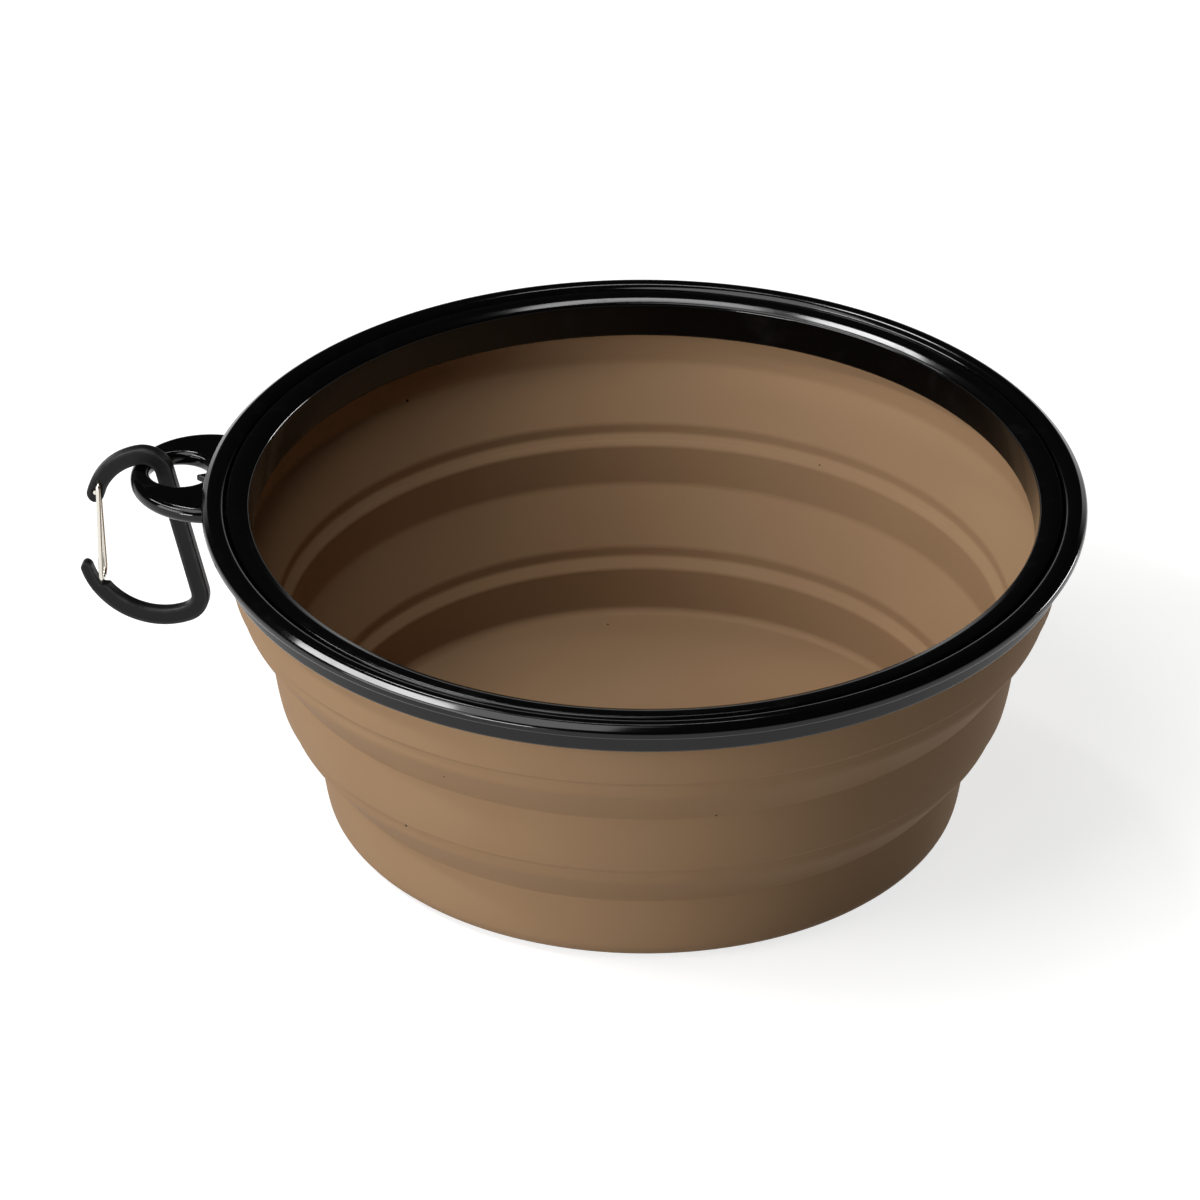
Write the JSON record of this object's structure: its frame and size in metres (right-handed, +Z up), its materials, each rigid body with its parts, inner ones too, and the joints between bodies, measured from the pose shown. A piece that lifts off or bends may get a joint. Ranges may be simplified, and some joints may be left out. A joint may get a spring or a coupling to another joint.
{
  "type": "collapsible dog bowl",
  "caption": "Folding silicone dog bowl in a stiff plastic rim with a hang loop and a wire-gate carabiner; its tiers press flat for carrying.",
  "frame": {"origin": "centre of the bowl's flat underside", "axes": "+Z up along the bowl's axis, -X towards the hang loop and its carabiner, +Y to complete the frame"},
  "size_m": [0.2073, 0.18, 0.0719],
  "materials": {
    "silicone": "matte moulded silicone, taupe brown",
    "rim_plastic": "glossy moulded black",
    "carabiner": "satin black anodised",
    "gate_wire": "bright drawn wire"
  },
  "bodies": {
    "rim": {"rim_frame": "rim_plastic", "retaining_ring": "rim_plastic", "upper_ring": "silicone", "upper_fold": "silicone"},
    "middle": {"middle_ring": "silicone", "lower_fold": "silicone"},
    "base": {"base_cup": "silicone"},
    "clip": {"carabiner_body": "carabiner"},
    "gate": {"wire_gate": "gate_wire"}
  },
  "joints": [
    {"name": "upper_fold_slide", "type": "slide", "parent": "rim", "child": "middle", "axis": [0, 0, 1], "range_m": [0, 0.0222], "deforming": ["upper_fold"]},
    {"name": "lower_fold_slide", "type": "slide", "parent": "middle", "child": "base", "axis": [0, 0, 1], "range_m": [0, 0.0256], "deforming": ["lower_fold"]},
    {"name": "clip_swing", "type": "hinge", "parent": "rim", "child": "clip", "pos_m": [-0.1044, 0, 0.0657], "axis": [0, 1, 0], "range_deg": [-20, 90]},
    {"name": "gate_open", "type": "hinge", "parent": "clip", "child": "gate", "pos_m": [-0.11303, 0, 0.06274], "axis": [0, -1, 0], "range_deg": [0, 40], "stiffness_Nm_per_rad": 0.05, "springref_deg": -11.46}
  ]
}
